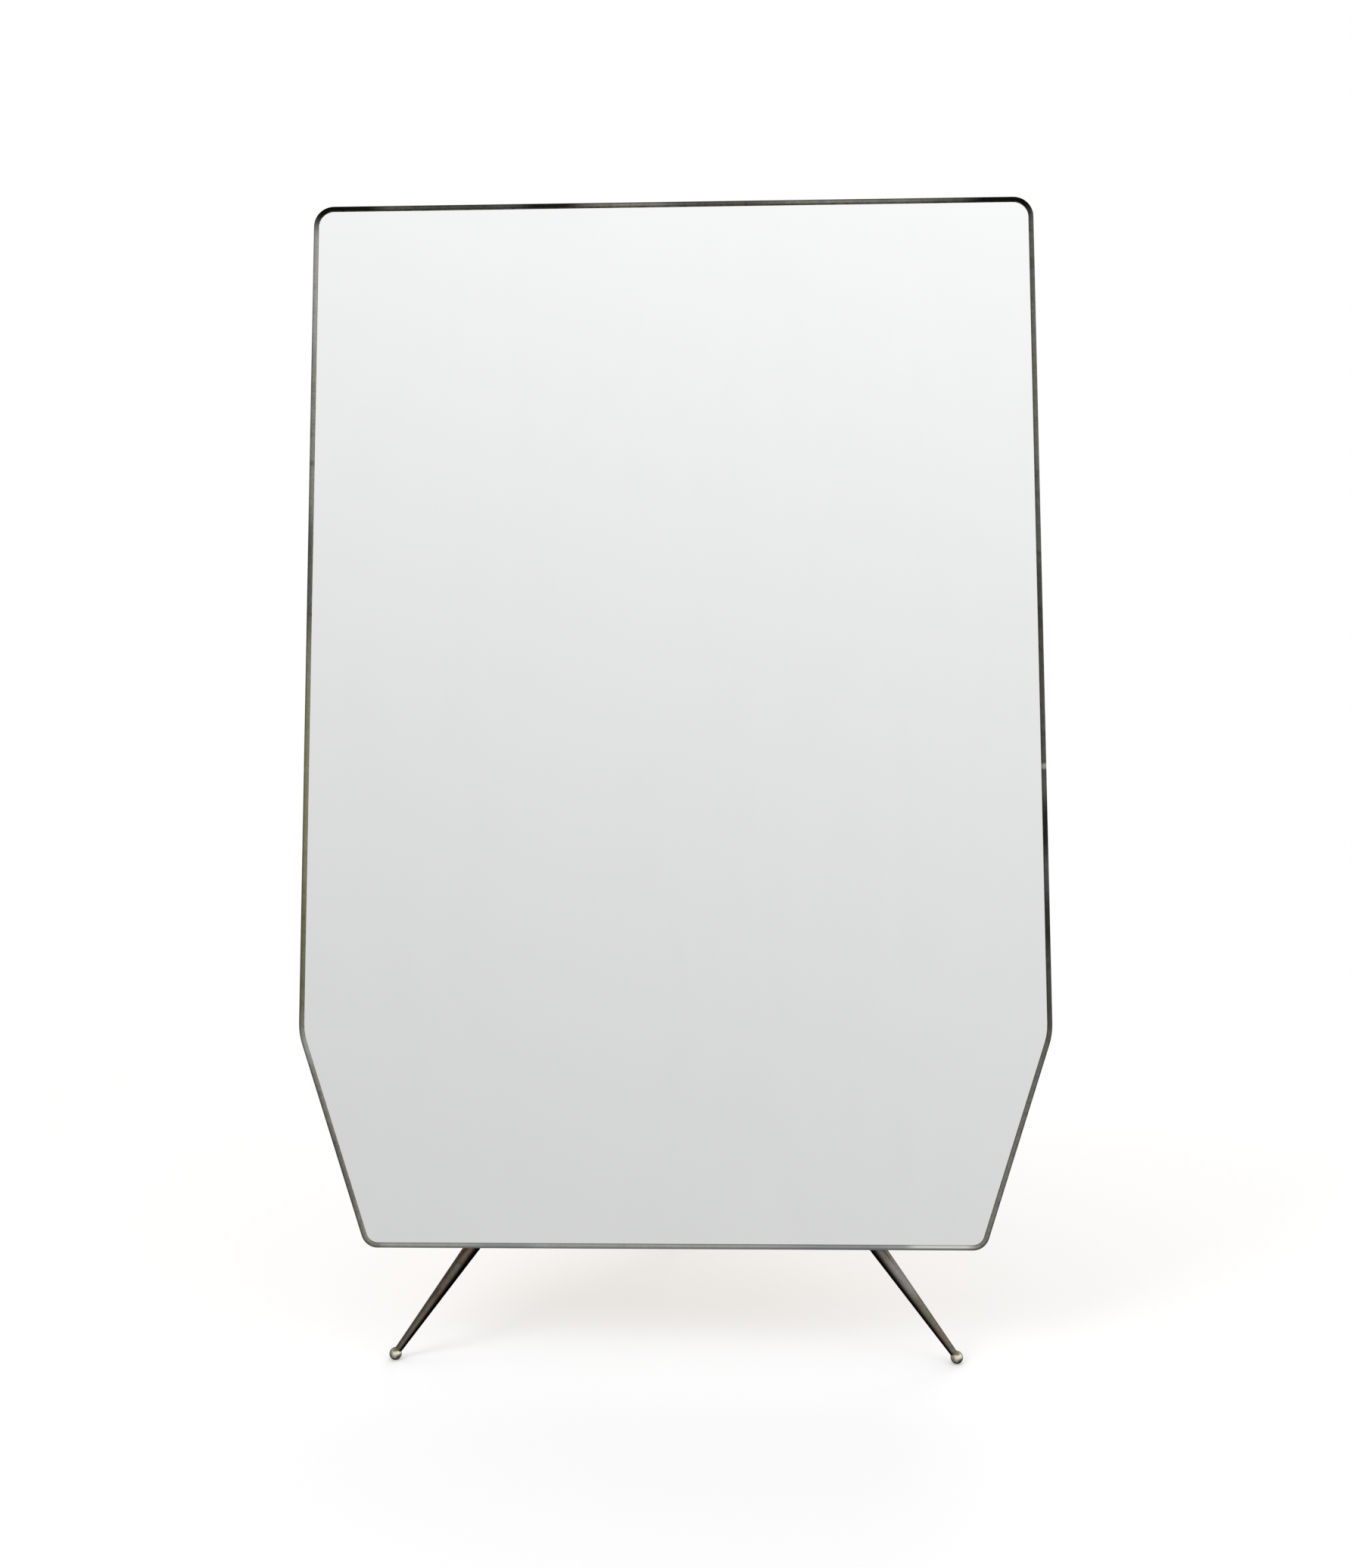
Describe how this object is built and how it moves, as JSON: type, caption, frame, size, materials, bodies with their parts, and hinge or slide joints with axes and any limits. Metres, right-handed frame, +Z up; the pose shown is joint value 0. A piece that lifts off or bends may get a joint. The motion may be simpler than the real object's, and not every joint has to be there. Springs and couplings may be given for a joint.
{
  "type": "full-length mirror",
  "caption": "Free-standing full-length mirror: six-sided glass in a thin crowned brass rim, splayed tapered legs with ball feet in front and a hinged leg behind.",
  "frame": {"origin": "on the floor, in the middle of the width, halfway between the rim's front and the rear ball foot", "axes": "+Z up, -Y the way the mirror faces, +X to the right for someone who looks into the mirror"},
  "size_m": [1.0296, 0.5706, 1.604],
  "materials": {
    "aged_brass": "darkened, softly worn brass",
    "bright_brass": "pale polished brass",
    "steel": "plain steel",
    "mirror": "clear silvered glass",
    "plywood": "oiled plywood",
    "hardwood": "oiled hardwood",
    "felt": "pressed felt",
    "cork": "cork"
  },
  "bodies": {
    "mirror": {"frame_upper": "aged_brass", "frame_lower": "aged_brass", "splice_plate_left": "steel", "splice_plate_right": "steel", "splice_screws": "aged_brass", "frame_screws": "aged_brass", "mirror_glass": "mirror", "setting_blocks": "cork", "backing_felt": "felt", "back_board": "plywood", "leg_rail": "hardwood", "rail_screws": "steel", "cross_batten": "hardwood", "batten_screws": "steel", "leg_plate_left": "aged_brass", "leg_plate_right": "aged_brass", "leg_plate_screws": "aged_brass", "leg_stud_left": "steel", "leg_stud_right": "steel", "front_leg_left": "aged_brass", "front_leg_right": "aged_brass", "ball_foot_left": "bright_brass", "ball_foot_right": "bright_brass", "hinge_bracket": "aged_brass", "bracket_screws": "steel", "hinge_pin": "steel", "hinge_washer": "steel", "hinge_nut": "steel"},
    "rear_leg": {"rear_leg_knuckle": "aged_brass", "knuckle_cross_pin": "aged_brass", "rear_leg_tube": "aged_brass", "ball_foot_rear": "bright_brass"}
  },
  "joints": [
    {"name": "rear_leg_hinge", "type": "hinge", "parent": "mirror", "child": "rear_leg", "pos_m": [0, -0.1306, 0.99233], "axis": [-1, 0, 0], "range_deg": [0, 28.48]}
  ]
}
